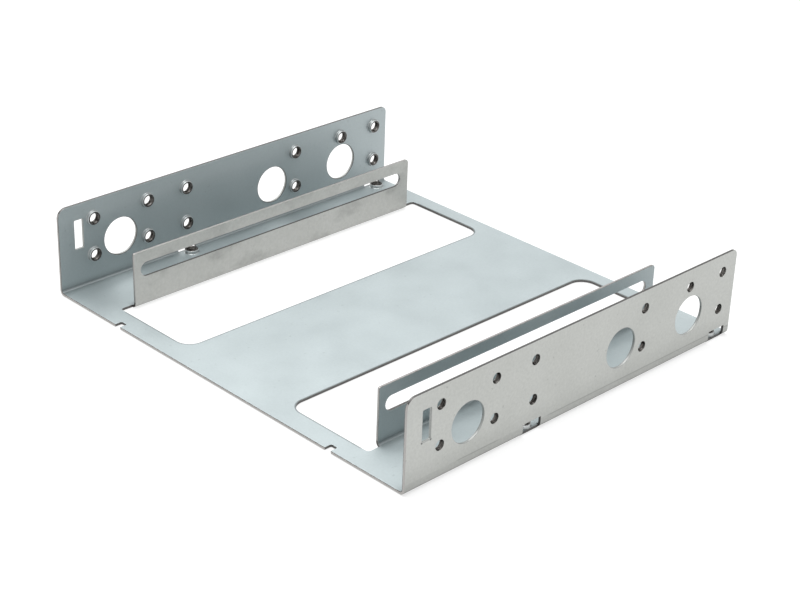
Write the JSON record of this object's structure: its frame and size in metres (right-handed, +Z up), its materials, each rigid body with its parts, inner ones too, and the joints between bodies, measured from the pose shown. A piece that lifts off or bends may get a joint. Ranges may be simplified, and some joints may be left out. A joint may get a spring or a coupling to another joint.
{
  "type": "drive bay adapter bracket",
  "caption": "Folded sheet-steel tray that holds a 3.5 inch drive between two slotted inner flanges and screws into a 5.25 inch bay by its tapped outer flanges.",
  "frame": {"origin": "underside of the base, centred between the outer flanges and between the front and rear edges", "axes": "+X across the bay to the right flange, +Y from the front edge to the rear edge, +Z up"},
  "size_m": [0.146, 0.132, 0.0275],
  "materials": {
    "zinc_coated_steel": "satin zinc coating"
  },
  "bodies": {
    "root": {"adapter_bracket": "zinc_coated_steel"}
  },
  "joints": []
}
